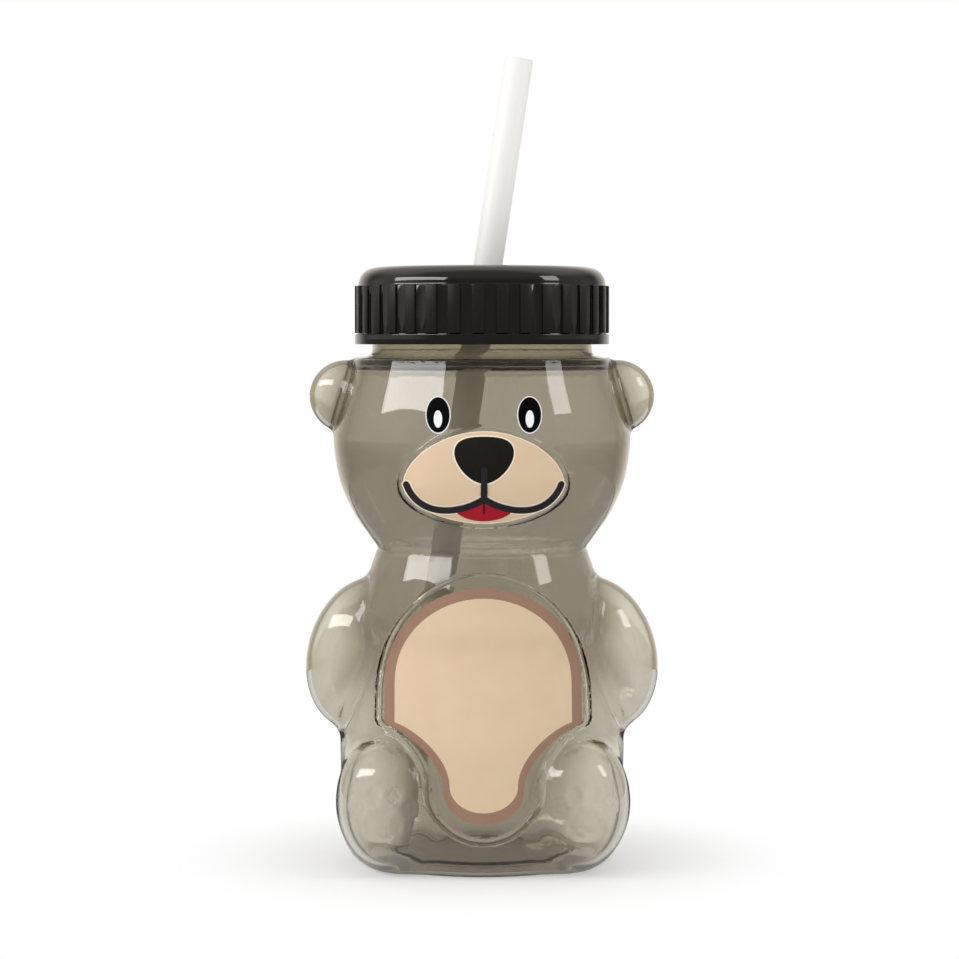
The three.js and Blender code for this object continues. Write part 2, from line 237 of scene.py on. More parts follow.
paper, tree = new_material("white_studio_paper")
place = add_node(tree, "ShaderNodeTexCoord").outputs["Object"]
reach = add_node(tree, "ShaderNodeVectorMath", {0: place}, operation="LENGTH").outputs["Value"]
pure = ramp(tree, reach, SHADOW_FULL, SHADOW_GONE, 1 - SHADOW_KEPT, 1)
ray = add_node(tree, "ShaderNodeLightPath").outputs
seen = add_node(tree, "ShaderNodeMath", {
    0: ray["Is Transmission Ray"], 1: ray["Is Glossy Ray"]}, operation="MAXIMUM").outputs["Value"]
seen = add_node(tree, "ShaderNodeMath", {
    0: ray["Is Camera Ray"], 1: seen}, operation="MAXIMUM").outputs["Value"]
share = add_node(tree, "ShaderNodeMath", {0: pure, 1: seen}, operation="MULTIPLY").outputs["Value"]
glow_level = between(tree, ray["Is Transmission Ray"], MIRRORED_TABLE_LEVEL, TABLE_LEVEL)
glow_level = between(tree, ray["Is Camera Ray"], glow_level, 1.0)
fibres = add_node(tree, "ShaderNodeTexNoise", {
    "Vector": place, "Scale": 900.0, "Detail": 2.0}).outputs["Fac"]
shade = blended(tree, fibres, linear("#F1F1F0"), linear("#F8F8F7"))
matte = add_node(tree, "ShaderNodeBsdfDiffuse", {"Color": shade}).outputs["BSDF"]
glow = add_node(tree, "ShaderNodeEmission", {
    "Color": linear("#FFFFFF"), "Strength": glow_level}).outputs["Emission"]
mixed = add_node(tree, "ShaderNodeMixShader", {0: share, 1: matte, 2: glow}).outputs["Shader"]
add_node(tree, "ShaderNodeOutputMaterial", {"Surface": mixed})

bm = bmesh.new()
bmesh.ops.create_circle(bm, cap_ends=True, segments=96, radius=FLOOR_RADIUS)
sheet = bpy.data.meshes.new("floor")
bm.to_mesh(sheet)
bm.free()
sheet.materials.append(paper)
floor = bpy.data.objects.new("floor", sheet)
scene.collection.objects.link(floor)
scene.view_settings.view_transform = "Standard"
scene.cycles.max_bounces = 24
scene.cycles.glossy_bounces = 16
scene.cycles.transmission_bounces = 24
print("floor", 2 * FLOOR_RADIUS, "m across")

# %% [markdown]
# ## Lines that outlines are drawn with
# The bear, its face and its belly are all drawn from three kinds of line: arcs of an ellipse, Bezier
# curves, and smooth lines through a few stations. A half outline with its mirror image makes a closed
# one. All drawing is in millimetres, and a finished piece is scaled to metres.

# %% Lines
def arc(centre, half, start, end, steps=16):
    """Points on an ellipse between two angles in degrees."""
    angles = np.radians(np.linspace(start, end, steps + 1))
    return [(centre[0] + half[0] * math.cos(a), centre[1] + half[1] * math.sin(a)) for a in angles]


def curve(start, handle, other_handle, end, steps=16):
    """Points on a Bezier curve."""
    knots = [Vector((*knot, 0)) for knot in (start, handle, other_handle, end)]
    return [(p.x, p.y) for p in interpolate_bezier(*knots, steps + 1)]


def smooth_line(stations, steps=12):
    """Points on a smooth line through every station."""
    knots = [np.array(s, float) for s in (stations[0], *stations, stations[-1])]
    points = [tuple(stations[0])]
    for before, start, end, after in zip(knots, knots[1:], knots[2:], knots[3:]):
        points += curve(start, start + (end - before) / 6, end - (after - start) / 6, end, steps)[1:]
    return points


def without_repeats(points):
    """The same points with no point twice in a row."""
    kept = [points[0]]
    for point in points[1:]:
        if math.dist(point, kept[-1]) > 1e-4:
            kept.append(point)
    return kept


def mirrored(right):
    """Close a right-hand half outline, from its top to its bottom, with its mirror image."""
    right = without_repeats(right)
    left = [(-x, z) for x, z in reversed(right) if x > 1e-4]
    return right + left


print("quarter arc:", len(arc((0, 0), (1, 1), 0, 90)), "points")

# %% [markdown]
# ## The bear's round body
# Hips, torso, head and neck are one turned form, so they are one profile of radius and height: a flat
# base with a round heel, full hips, a slimmer chest, the chin crease, the round head, a square shoulder
# and the neck. The numbers start from the CAD model's and move by up to three millimetres, where the
# highlights of the photograph ask for it. The cavity gets a profile of its own, with a lower and rounder
# shoulder, as the plastic is thick there. The line goes on above the rim, where it is cut later.

# %% Body profile
BASE_FLAT_RADIUS = 29.5
HEEL_HEIGHT = 10
HIP = (35.4, 21.5)
TORSO = [
    (35.4, 10), HIP, (35.3, 32.5), (32.6, 44), (30.1, 53),
    (30.6, 59), (30.1, 65), (29.15, 69), (27.88, 73), (26.5, 77)]
HEAD = [
    (26.3, 78.3), (28.6, 81.6), (32.2, 87), (35.5, 94.7), (37.05, 104),
    (36.45, 109), (35.1, 114.5), (33.6, 119.2)]
SHOULDER_CORNER = 1.1
INNER_SHOULDER_CORNER = 3.2
SHOULDER_RISE = 0.5
SHOULDER_SLOPE = -0.33
NECK_RADIUS = 27.4
NECK_FOOT_Z = 125.9
NECK_FILLET = 1.4
SHOULDER_THICKER = 0.8
RIM_Z = 144.6
ABOVE_RIM_Z = 150


def body_profile(neck_foot_z, corner):
    """Radius and height of the turned body, from the edge of the base to above the rim."""
    heel = arc((BASE_FLAT_RADIUS, HEEL_HEIGHT), (HIP[0] - BASE_FLAT_RADIUS, HEEL_HEIGHT), -90, 0)
    crown_z = neck_foot_z - SHOULDER_RISE - corner
    crown_radius = HEAD[-1][0] + SHOULDER_SLOPE * (crown_z - HEAD[-1][1])
    side = smooth_line([*TORSO, *HEAD, (crown_radius, crown_z)])
    shoulder = arc((crown_radius - corner, crown_z), (corner, corner), 0, 90, 8)
    fillet_centre = (NECK_RADIUS + NECK_FILLET, neck_foot_z + NECK_FILLET)
    neck = [*arc(fillet_centre, (NECK_FILLET, NECK_FILLET), -90, -180, 6), (NECK_RADIUS, ABOVE_RIM_Z)]
    return without_repeats([*heel, *side, *shoulder, *neck])


skin_profile = body_profile(NECK_FOOT_Z, SHOULDER_CORNER)
cavity_profile = body_profile(NECK_FOOT_Z - SHOULDER_THICKER, INNER_SHOULDER_CORNER)
print("body profile:", len(skin_profile), "points")

# %% [markdown]
# ## The bear's form as a distance
# Ears, arms and feet are round forms blown out of the body, with a small fillet where they leave it.
# They could be joined with booleans, but those leave hard creases that look wrong in clear plastic.
# Here each form gives its distance from any point: less than nothing inside, nothing on the skin. The
# smaller of two distances joins two forms, and a soft minimum also fills the crease. The belly recess,
# the raised muzzle, the paw pads and the screw thread only add a little to the distance or take a
# little away. One function then says where the bottle's skin is, and a mesh can settle on it.

# %% Distances
def outline_distance(outline, across, up):
    """Distance from points to a closed outline, negative inside."""
    corners = np.array(outline, float)
    nearest = np.full(across.shape, np.inf)
    inside = np.zeros(across.shape, bool)
    for (x0, z0), (x1, z1) in zip(corners, np.roll(corners, -1, axis=0)):
        run, rise = x1 - x0, z1 - z0
        along = np.clip(((across - x0) * run + (up - z0) * rise) / (run * run + rise * rise), 0, 1)
        nearest = np.minimum(nearest, (across - x0 - along * run) ** 2 + (up - z0 - along * rise) ** 2)
        if rise:
            inside ^= ((z0 > up) != (z1 > up)) & (across < x0 + (up - z0) * run / rise)
    return np.where(inside, -1, 1) * np.sqrt(nearest)


def soft_union(first, second, fillet):
    """Join two forms, with the crease between them filled."""
    overlap = np.maximum(fillet - np.abs(first - second), 0) / fillet
    return np.minimum(first, second) - overlap * overlap * fillet / 4


def soft_step(value):
    """0 below 0, 1 above 1, and smooth in between."""
    value = np.clip(value, 0, 1)
    return value * value * (3 - 2 * value)


def limb_distance(points, centre, half, lean, fullness):
    """Distance to a leaning ellipsoid, exact enough near its skin. Fullness above 2 flattens its front."""
    x, y, z = (points - np.array(centre)).T
    across = x * math.cos(lean) - z * math.sin(lean)
    along = x * math.sin(lean) + z * math.cos(lean)
    outline = np.hypot(across / half[0], along / half[2]) + 1e-9
    depth = np.abs(y) / half[1]
    size = (outline ** fullness + depth ** fullness) ** (1 / fullness)
    outline_slope = np.hypot(across / half[0] ** 2, along / half[2] ** 2) / outline
    face_slope = (outline / size) ** (fullness - 1) * outline_slope
    depth_slope = (depth / size) ** (fullness - 1) / half[1]
    return (size - 1) / (np.hypot(face_slope, depth_slope) + 1e-9)


ring = outline_distance(arc((0, 0), (10, 10), 0, 360), np.array([0.0, 10.0, 13.0]), np.zeros(3))
print("distances to a 10 mm circle:", ring.round(2))

# %% [markdown]
# ## Belly recess and muzzle
# The belly has a shallow recess with a crisp edge, as round as a bib at the top, and swept in round
# each foot to a lobe between them. The patch printed in it repeats the outline twice, smaller. The
# muzzle stands out in the same way, as a lens with two arches that meet in corners.

# %% Belly and muzzle outlines
def belly_outline(top, half_width, corner, waist, bottom, widest_z=46.5):
    """Round top, a corner on each side, an inward sweep round each foot, and a lobe."""
    reach, drop = corner[0] - waist[0], corner[1] - waist[1]
    sweep = [(corner[0] - 0.45 * reach, corner[1] - 0.1 * drop), (waist[0], waist[1] + 0.45 * drop)]
    right = arc((0, widest_z), (half_width, top - widest_z), 90, 0)
    right += curve(corner, *sweep, waist)
    right += arc((0, waist[1]), (waist[0], waist[1] - bottom), 0, -90)
    return mirrored(right)


def muzzle_outline(half_width, corner_z, top, bottom):
    """Two shallow arches that meet in soft corners."""
    upper = curve((0, top), (0.5 * half_width, top), (half_width, corner_z + 6.5), (half_width, corner_z))
    lower = curve(
        (half_width, corner_z), (half_width, corner_z - 4.5), (0.5 * half_width, bottom), (0, bottom))
    return mirrored(upper + lower)


RECESS_OUTLINE = belly_outline(70.8, 24.1, (24.1, 38), (11.5, 21.5), 11.1, 42.5)
BORDER_OUTLINE = belly_outline(69.9, 24, (24, 36.5), (9.7, 21.5), 13.4)
PATCH_OUTLINE = belly_outline(67.4, 21.5, (21.5, 37.1), (8.2, 22.5), 16.2)
MUZZLE_OUTLINE = muzzle_outline(19.1, 95, 107.9, 86.1)
RECESS_CORNER = 2.2
RECESS_DEPTH = 1.3
RECESS_EDGE = 0.7
RECESS_REACH = 2.0
MUZZLE_STEP = 1.1
MUZZLE_EDGE = 1.7
MUZZLE_CROWN = 2.1
MUZZLE_CROWN_REACH = 10


def belly_recess(x, z, softness):
    """How deep the belly lies under the body's own round form."""
    outwards = outline_distance(RECESS_OUTLINE, x, z) - RECESS_CORNER
    return RECESS_DEPTH * soft_step(0.5 - outwards / (RECESS_EDGE * softness))


def muzzle_rise(x, z):
    """How far the muzzle stands out: a step round its outline, and a gentle crown inside."""
    inwards = -outline_distance(MUZZLE_OUTLINE, x, z)
    crown = 1 - (1 - np.clip(inwards / MUZZLE_CROWN_REACH, 0, 1)) ** 2
    return MUZZLE_STEP * soft_step((inwards + MUZZLE_EDGE) / MUZZLE_EDGE) + MUZZLE_CROWN * crown


print("outlines:", len(RECESS_OUTLINE), "and", len(MUZZLE_OUTLINE), "points")

# %% [markdown]
# ## Limbs, paw pads, base and thread
# The same numbers serve both sides, because a point's distance from the middle plane is all that is
# asked. Each sole has four small toe pads over a wide one. The middle of the base is pushed up a little,
# as blown bottles have it, so that they stand on a ring. The neck has a thread of one and a quarter turns
# that fades out at both ends, as on other jars with a wide mouth.

# %% The bear's skin
LIMBS = {
    "ear": {
        "centre": (34.1, 1, 115.75), "half": (9, 6, 9),
        "lean": 0, "fullness": 2, "fillet": (2.2, 2.2)},
    "arm": {
        "centre": (30, 0, 51.4), "half": (13.7, 12, 19.3),
        "lean": -0.26, "fullness": 2, "fillet": (2.5, 3.5)},
    "foot": {
        "centre": (22.9, -18, 17.3), "half": (13.2, 18.5, 16.6),
        "lean": 0, "fullness": 3, "fillet": (2.5, 5)},
}
PAD_CENTRE = (24.2, 13.5)
PAD_HALF = (4.4, 3.6)
TOE_HALF = (1.6, 1.9)
TOE_REACH = 7.8
TOE_ANGLES = (146, 110, 74, 38)
PAD_RISE = 0.12
PAD_EDGE = 1.4
PUSH_UP_RADIUS = 22
PUSH_UP_DEPTH = 0.8
PUSH_UP_EDGE = 1.6
THREAD_PITCH = 5.0
THREAD_TURNS = 1.25
THREAD_START_Z = 132.5
THREAD_HEIGHT = 0.8
THREAD_HALF_WIDTH = 0.9
THREAD_FADE = 0.06
INNER_SOFTNESS = 2.5
SKIN_OUTLINE = [(-60, 0), *skin_profile, (-60, ABOVE_RIM_Z)]
CAVITY_OUTLINE = [(-60, 0), *cavity_profile, (-60, ABOVE_RIM_Z)]


def pad_rise(side, z):
    """Paw pads on the sole, seen from the front."""
    pads = [arc(PAD_CENTRE, PAD_HALF, 0, 345, 23)]
    for angle in np.radians(TOE_ANGLES):
        toe = (PAD_CENTRE[0] + TOE_REACH * math.cos(angle), PAD_CENTRE[1] + TOE_REACH * math.sin(angle))
        pads.append(arc(toe, TOE_HALF, 0, 330, 11))
    nearest = np.min([outline_distance(pad, side, z) for pad in pads], axis=0)
    return PAD_RISE * soft_step(0.5 - nearest / PAD_EDGE)


def base_push_up(radius):
    """How far the middle of the base is pushed up, so that the bottle stands on a ring."""
    return PUSH_UP_DEPTH * soft_step(0.5 - (radius - PUSH_UP_RADIUS) / PUSH_UP_EDGE)


def thread_rise(x, y, z):
    """The neck's thread: a ridge that climbs one pitch each turn."""
    turn = np.arctan2(y, x) / (2 * math.pi)
    turns_up = (z - THREAD_START_Z) / THREAD_PITCH - turn
    whole = np.round(turns_up)
    off_ridge = np.abs(turns_up - whole) * THREAD_PITCH
    along = turn + whole
    ends = soft_step(along / THREAD_FADE) * soft_step((THREAD_TURNS - along) / THREAD_FADE)
    return THREAD_HEIGHT * ends * soft_step(1.6 - 1.6 * off_ridge / THREAD_HALF_WIDTH)


def body_distance(points, outside=True):
    """Distance to the round body alone. Inside, the shoulder lies lower, as its plastic is thick."""
    outline = SKIN_OUTLINE if outside else CAVITY_OUTLINE
    return outline_distance(outline, np.hypot(points[:, 0], points[:, 1]), points[:, 2])


def bear_distance(points, outside=True):
    """Distance to the bottle's skin. The cavity has a softer recess, no thread and no paw pads.

    The recess is measured where a point falls on the round body, so that its edge runs straight inwards.
    """
    x, y, z = points.T
    form = body_distance(points, outside)
    front = y < 0
    off_body = np.clip(form[front], -RECESS_REACH, RECESS_REACH)
    x_on_body = x[front] * (1 - off_body / np.hypot(x[front], y[front]))
    softness = 1 if outside else INNER_SOFTNESS
    form[front] -= muzzle_rise(x[front], z[front])
    on_base = z < HEEL_HEIGHT / 2
    form[on_base] += base_push_up(np.hypot(x[on_base], y[on_base]))
    mirrored_points = np.column_stack([np.abs(x), y, z])
    for name, limb in LIMBS.items():
        bulge = limb_distance(mirrored_points, limb["centre"], limb["half"], limb["lean"], limb["fullness"])
        if name == "foot" and outside:
            bulge[front] += PAD_RISE - pad_rise(np.abs(x[front]), z[front])
        upper, lower = limb["fillet"]
        downwards = soft_step(0.5 - (z - limb["centre"][2]) / limb["half"][2])
        form = soft_union(form, bulge, upper + (lower - upper) * downwards)
    form[front] += belly_recess(x_on_body, z[front], softness)
    if outside:
        form -= np.where(z > NECK_FOOT_Z + 1, thread_rise(x, y, z), 0)
    return form


tips = np.array([[0, 0, 0.0], [44.1, 0, 51.4], [0, -36, 104]])
print("distance at base, arm and forehead:", bear_distance(tips).round(2))

# %% [markdown]
# ## A mesh that settles on the skin
# The mesh starts as the turned body and six balls. Blender's voxel remesh melts them into one skin of
# small even faces, a little rough. Each vertex then moves along its own normal by the distance that is
# left, which makes the skin exact, and a few rounds of smoothing in between keep the faces even. Edges
# that still leave the skin between their ends, as at the recess, are cut in half and settle again.

# %% Rough skin
VOXEL = 1.42


def turned_form(profile, steps):
    """Spin a profile of radius and height points round the Z axis."""
    bm = bmesh.new()
    verts = [bm.verts.new((radius, 0, z)) for radius, z in profile]
    edges = [bm.edges.new(pair) for pair in zip(verts, verts[1:])]
    bmesh.ops.spin(bm, geom=verts + edges, axis=(0, 0, 1), cent=(0, 0, 0), dvec=(0, 0, 0),
                   angle=2 * math.pi, steps=steps, use_merge=True)
    bmesh.ops.remove_doubles(bm, verts=bm.verts, dist=1e-4)
    bmesh.ops.recalc_face_normals(bm, faces=bm.faces)
    return bm


def remeshed(bm, voxel):
    """Melt the closed forms in a bmesh into one skin of even faces."""
    mesh = bpy.data.meshes.new("rough")
    bm.to_mesh(mesh)
    bm.free()
    rough = bpy.data.objects.new("rough", mesh)
    scene.collection.objects.link(rough)
    remesh = rough.modifiers.new("voxels", "REMESH")
    remesh.mode = "VOXEL"
    remesh.voxel_size = voxel
    even = bpy.data.meshes.new_from_object(rough.evaluated_get(bpy.context.evaluated_depsgraph_get()))
    skin = bmesh.new()
    skin.from_mesh(even)
    bpy.data.objects.remove(rough)
    bpy.data.meshes.remove(mesh)
    bpy.data.meshes.remove(even)
    return skin


def rough_bear(profile):
    """The turned body and its limbs, melted into one rough skin."""
    bm = turned_form([(0, 0), *profile, (0, ABOVE_RIM_Z)], 64)
    for limb in LIMBS.values():
        for side in (-1, 1):
            place = Matrix.Translation((side * limb["centre"][0], *limb["centre"][1:]))
            turn = Matrix.Rotation(side * limb["lean"], 4, "Y")
            place = place @ turn @ Matrix.Diagonal((*limb["half"], 1))
            bmesh.ops.create_uvsphere(bm, u_segments=32, v_segments=20, radius=1, matrix=place)
    return remeshed(bm, VOXEL)


skin = rough_bear(skin_profile)
print("rough skin:", len(skin.faces), "faces")

# %% Settle the outside
EASE = 0.45
LONGEST_MOVE = 1.0
ROUGH_MISS = 0.022


def settle(bm, level, outside, rounds):
    """Move every vertex along its normal until the skin lies at a level. Returns the miss."""
    miss = np.zeros(1)
    for _ in range(rounds):
        bm.normal_update()
        places = np.array([v.co for v in bm.verts])
        normals = np.array([v.normal for v in bm.verts])
        miss = bear_distance(places, outside) - level
        places -= EASE * np.clip(miss, -LONGEST_MOVE, LONGEST_MOVE)[:, None] * normals
        for vert, place in zip(bm.verts, places):
            vert.co = place
    return np.abs(miss)


def relax(bm, verts):
    """Pull each vertex halfway to the middle of its neighbours."""
    bmesh.ops.smooth_vert(bm, verts=verts, factor=0.5, use_axis_x=True, use_axis_y=True, use_axis_z=True)


def refine(bm, level, outside):
    """Cut the edges in half that leave the skin between their ends, and settle again."""
    start, end = np.array([[v.co for v in e.verts] for e in bm.edges]).transpose(1, 0, 2)
    gaps = [np.abs(bear_distance(start + (end - start) * share, outside) - level) for share in (0.3, 0.7)]
    rough = (np.max(gaps, axis=0) > ROUGH_MISS) & (np.maximum(start, end)[:, 2] < RIM_Z)
    rough = [e for e, cut in zip(bm.edges, rough) if cut]
    bmesh.ops.subdivide_edges(bm, edges=rough, cuts=1, use_grid_fill=True)
    bmesh.ops.triangulate(bm, faces=[f for f in bm.faces if len(f.verts) > 4])
    settle(bm, level, outside, 3)
    relax(bm, bm.verts)
    settle(bm, level, outside, 4)


settle(skin, 0, True, 4)
for _ in range(3):
    relax(skin, skin.verts)
    settle(skin, 0, True, 3)
for _ in range(3):
    refine(skin, 0, True)
miss = settle(skin, 0, True, 5)
for vert in skin.verts:
    vert.co.z = max(vert.co.z, 0)
print("outside:", len(skin.faces), "faces, largest miss", round(float(miss.max()), 3), "mm")

# %% [markdown]
# ## The cavity and the rim
# A blown bottle has a thin wall that follows its skin, with softer details inside. A Solidify modifier
# could give the wall, but it folds over itself in tight corners. A second rough skin settles on the level
# one wall's thickness further in instead. Both skins are cut at the rim's height, and the open loops are
# bridged into the flat lip that the sealing ring presses on.

# %% Settle the cavity
WALL = 1.2
LIP_BEVEL = 0.25

cavity = rough_bear(cavity_profile)
for share in (0, 0.5, 1):
    settle(cavity, -share * WALL, False, 4)
    relax(cavity, cavity.verts)
settle(cavity, -WALL, False, 4)
for _ in range(2):
    refine(cavity, -WALL, False)
miss = settle(cavity, -WALL, False, 5)
bmesh.ops.reverse_faces(cavity, faces=cavity.faces)
print("cavity:", len(cavity.faces), "faces, largest miss", round(float(miss.max()), 3), "mm")

# %% Cut and bridge the rim
def cut_at_rim(bm):
    """Cut away everything above the rim."""
    everything = [*bm.verts, *bm.edges, *bm.faces]
    bmesh.ops.bisect_plane(bm, geom=everything, dist=1e-4, plane_co=(0, 0, RIM_Z), plane_no=(0, 0, 1),
                           clear_outer=True)


def joined(first, second):
    """One bmesh with the faces of both."""
    mesh = bpy.data.meshes.new("second")
    second.to_mesh(mesh)
    second.free()
    first.from_mesh(mesh)
    bpy.data.meshes.remove(mesh)
    return first


cut_at_rim(skin)
cut_at_rim(cavity)
skin_tree = BVHTree.FromBMesh(skin)
shell = joined(skin, cavity)
lip = bmesh.ops.bridge_loops(shell, edges=[e for e in shell.edges if e.is_boundary])
corners = {e for f in lip["faces"] for e in f.edges if e.calc_face_angle(0) > math.radians(60)}
bmesh.ops.bevel(shell, geom=list(corners), offset=LIP_BEVEL, segments=2, profile=0.5,
                affect="EDGES", material=-1)
bmesh.ops.triangulate(shell, faces=[f for f in shell.faces if len(f.verts) > 4])
open_edges = sum(e.is_boundary for e in shell.edges)
print("shell:", sum(len(f.verts) - 2 for f in shell.faces), "triangles,", open_edges, "open edges")

# %% [markdown]
# ## Exact normals and wall thickness
# Clear plastic shows every unevenness of a mesh, because its normals bend the light. The distance knows
# the true normal at each vertex: the direction in which it grows, measured over the length of the edges
# there. So the mesh gets those normals, except round the lip. The limbs and the sides of the hips are
# blown out furthest, so their wall is thinnest, and the neck is hardly blown at all. Each vertex keeps a
# number for that, from one on the limbs to minus one at the neck, which the material reads.

# %% Normals and stretch
THIN_REACH = 7.0
HIP_TOP_Z = 52
HIP_SIDE = 20
HIP_TOP_BLEND = 14
HIP_SIDE_BLEND = 12
HIP_SHARE = 0.9
NECK_BLEND = 4.0
LIP_HEIGHT = 0.6


def skin_slope(points, spans, outside):
    """Direction in which the distance to the skin grows, measured over a span at each point."""
    steps = [np.outer(spans, axis) for axis in np.eye(3)]
    slope = np.column_stack([
        bear_distance(points + step, outside) - bear_distance(points - step, outside) for step in steps])
    return slope / np.linalg.norm(slope, axis=1)[:, None]


shell.normal_update()
places = np.array([v.co for v in shell.verts])
normals = np.array([v.normal for v in shell.verts])
spans = np.array([min(e.calc_length() for e in v.link_edges) / 2 for v in shell.verts])
on_skin = bear_distance(places) > -WALL / 2
exact = np.where(on_skin[:, None], skin_slope(places, spans, True), -skin_slope(places, spans, False))
below_lip = places[:, 2] < RIM_Z - LIP_HEIGHT
normals[below_lip] = exact[below_lip]
stood_out = np.clip(body_distance(places) / THIN_REACH, 0, 1)
beside = soft_step((np.abs(places[:, 0]) - HIP_SIDE) / HIP_SIDE_BLEND)
hips = beside * soft_step((HIP_TOP_Z - places[:, 2]) / HIP_TOP_BLEND)
unblown = soft_step((places[:, 2] - NECK_FOOT_Z + NECK_BLEND) / NECK_BLEND)
thinness = np.maximum(stood_out, HIP_SHARE * hips) - (1 - stood_out) * unblown
stretch = shell.verts.layers.float.new("stretch")
for vert, thin in zip(shell.verts, thinness):
    vert[stretch] = thin
print("exact normals on", round(100 * below_lip.mean(), 1), "% of", len(places), "vertices")

# %% [markdown]
# ## Clear smoke plastic
# The bottle is blown from a clear polyester with a smoke tint. The eye sees dark bands where the wall
# turns away, pale edges where it mirrors the background, and sharp pale patches from the softboxes.
# Ears, arms, feet and hips are blown out furthest, so their wall is thinner and paler, and the neck is
# thick and darker: the stretch attribute of the mesh holds how far each point was blown. Blown walls are
# never quite even, so the tint drifts a little, and slow waves in the skin bend the reflections.

# %% Smoke plastic
SMOKE_BODY = "#CDC8BD"
SMOKE_LIMB = "#F1EEE4"
SMOKE_PATCHY = "#C6C1B5"
SMOKE_NECK = "#C2BCAB"
WALL_DRIFT = 18.0
WAVE_LENGTH = 14.0
WAVE_HEIGHT = 0.04

smoke_plastic, tree = new_material("smoke_clear_polyester_blown")
place = add_node(tree, "ShaderNodeTexCoord").outputs["Object"]
drift = add_node(tree, "ShaderNodeTexNoise", {
    "Vector": place, "Scale": 1 / (WALL_DRIFT * MM), "Detail": 1.0}).outputs["Fac"]
body_tint = blended(tree, drift, linear(SMOKE_BODY), linear(SMOKE_PATCHY))
blown = add_node(tree, "ShaderNodeAttribute", attribute_name="stretch").outputs["Fac"]
tint = blended(tree, blown, body_tint, linear(SMOKE_LIMB))
tint = blended(tree, ramp(tree, blown, 0, -1), tint, linear(SMOKE_NECK))
waves = add_node(tree, "ShaderNodeTexNoise", {
    "Vector": place, "Scale": 1 / (WAVE_LENGTH * MM), "Detail": 0.0}).outputs["Fac"]
wavy = add_node(tree, "ShaderNodeBump", {
    "Height": waves, "Strength": 1.0, "Distance": WAVE_HEIGHT * MM}).outputs["Normal"]
clear = add_node(tree, "ShaderNodeBsdfPrincipled", {
    "Base Color": tint, "Normal": wavy, "Roughness": 0.02, "IOR": 1.57, "Transmission Weight": 1.0})
add_node(tree, "ShaderNodeOutputMaterial", {"Surface": clear.outputs["BSDF"]})

# %% The bottle as a piece
SHARP_EDGE = math.radians(35)


def add_piece(name, bm, materials, body, nodes, normals=None):
    """Turn a bmesh in millimetres into a piece that rides on a CAD body."""
    bmesh.ops.scale(bm, vec=(MM, MM, MM), verts=bm.verts)
    mesh = bpy.data.meshes.new(name)
    bm.to_mesh(mesh)
    bm.free()
    mesh.shade_smooth()
    if normals is None:
        mesh.set_sharp_from_angle(angle=SHARP_EDGE)
    else:
        mesh.normals_split_custom_set_from_vertices(normals)
    for material in materials:
        mesh.materials.append(material)
    piece = bpy.data.objects.new(name, mesh)
    scene.collection.objects.link(piece)
    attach(piece, body)
    if nodes:
        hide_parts(*nodes)
    mesh.calc_loop_triangles()
    print(name, "has", len(mesh.loop_triangles), "triangles")
    return piece


add_piece("moulded_bottle", shell, [smoke_plastic], "bottle", ["bottle_shell"], normals)

# %% [markdown]
# ## Printed inks
# Face and belly are printed with opaque inks, one thin layer on another. Each layer is a flat outline,
# cut into a fine grid, laid on the bottle's skin by casting each point straight back on it, and given
# a thickness. The inks are satin. Up close, screen-printed ink shows a fine mesh grain and slight
# unevenness in its cover, which is drawn here a little coarser than it is, so that it shows.

# %% Inks
INK_GRAIN = 0.35
INK_CLOUD = 6.0


def ink(name, hex_colour, worn_colour):
    """Satin screen-printed ink: a main colour, and the colour where its cover is thinner."""
    material, tree = new_material(name)
    place = add_node(tree, "ShaderNodeTexCoord").outputs["Object"]
    cloud = add_node(tree, "ShaderNodeTexNoise", {
        "Vector": place, "Scale": 1 / (INK_CLOUD * MM), "Detail": 3.0}).outputs["Fac"]
    cover = add_node(tree, "ShaderNodeMapRange", {
        "Value": cloud, "From Min": 0.35, "From Max": 0.75}).outputs["Result"]
    colour = blended(tree, cover, linear(hex_colour), linear(worn_colour))
    grain = add_node(tree, "ShaderNodeTexNoise", {
        "Vector": place, "Scale": 1 / (INK_GRAIN * MM), "Detail": 1.0}).outputs["Fac"]
    rough = add_node(tree, "ShaderNodeMapRange", {
        "Value": grain, "To Min": 0.5, "To Max": 0.65}).outputs["Result"]
    bump = add_node(tree, "ShaderNodeBump", {
        "Height": grain, "Strength": 0.35, "Distance": 0.02 * MM}).outputs["Normal"]
    satin = add_node(tree, "ShaderNodeBsdfPrincipled", {
        "Base Color": colour, "Roughness": rough, "Normal": bump, "IOR": 1.45, "Specular IOR Level": 0.06})
    add_node(tree, "ShaderNodeOutputMaterial", {"Surface": satin.outputs["BSDF"]})
    return material


tan_ink = ink("tan_ink_screen_printed", "#DCC3A6", "#D9BFA1")
brown_ink = ink("brown_ink_screen_printed", "#9D7D6A", "#987866")
cream_ink = ink("cream_ink_screen_printed", "#F3E6D3", "#EFE1CC")
white_ink = ink("white_ink_screen_printed", "#F4F5F5", "#EDEEEE")
nose_ink = ink("nose_black_ink_screen_printed", "#1E1C18", "#23211D")
line_ink = ink("soft_black_ink_screen_printed", "#2B2629", "#302B2E")
eye_ink = ink("eye_black_ink_screen_printed", "#050606", "#090A0A")
red_ink = ink("red_ink_screen_printed", "#A81F2D", "#A01D2B")
outline_ink = ink("outline_black_ink_screen_printed", "#14201F", "#182423")
print("inks made")

# %% Lay an outline on the bottle
PRINT_GRID = 1.0
PRINT_THICKNESS = 0.05
FIRST_LIFT = 0.04
LAYER_STEP = 0.06
CAST_FROM_Y = -80


def add_loop(bm, outline):
    """A closed loop of edges in front of the bottle. Returns its edges."""
    verts = [bm.verts.new((x, CAST_FROM_Y, z)) for x, z in outline]
    return [bm.edges.new(pair) for pair in zip(verts, verts[1:] + verts[:1])]


